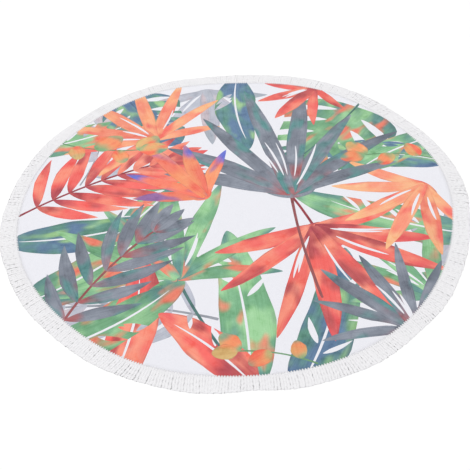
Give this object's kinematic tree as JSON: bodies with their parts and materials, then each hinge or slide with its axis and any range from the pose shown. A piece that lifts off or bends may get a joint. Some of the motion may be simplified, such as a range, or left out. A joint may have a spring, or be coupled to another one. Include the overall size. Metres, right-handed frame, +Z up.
{
  "type": "round beach towel",
  "caption": "Round beach towel lying flat: a thin disc of printed terry cloth with a turned hem and a cotton fringe trim sewn round its edge.",
  "frame": {"origin": "centre of the towel's outline on the surface that it lies on, which is the bottom centre of its bounding box", "axes": "+Z is up, out of the printed side and along the towel's thickness; +X and +Y lie in the surface, +X to the right and +Y to the far side as the towel is looked at"},
  "size_m": [1.5074, 1.492, 0.0032],
  "materials": {
    "printed_terry": "matt terry cloth, cropped smooth on its printed side and looped underneath, printed all over with leaves in coral, slate and green on white",
    "cotton_fringe": "matt off-white twisted cotton strands on a woven header tape"
  },
  "bodies": {
    "root": {"towel_cloth": "printed_terry", "fringe_trim": "cotton_fringe"}
  },
  "joints": []
}
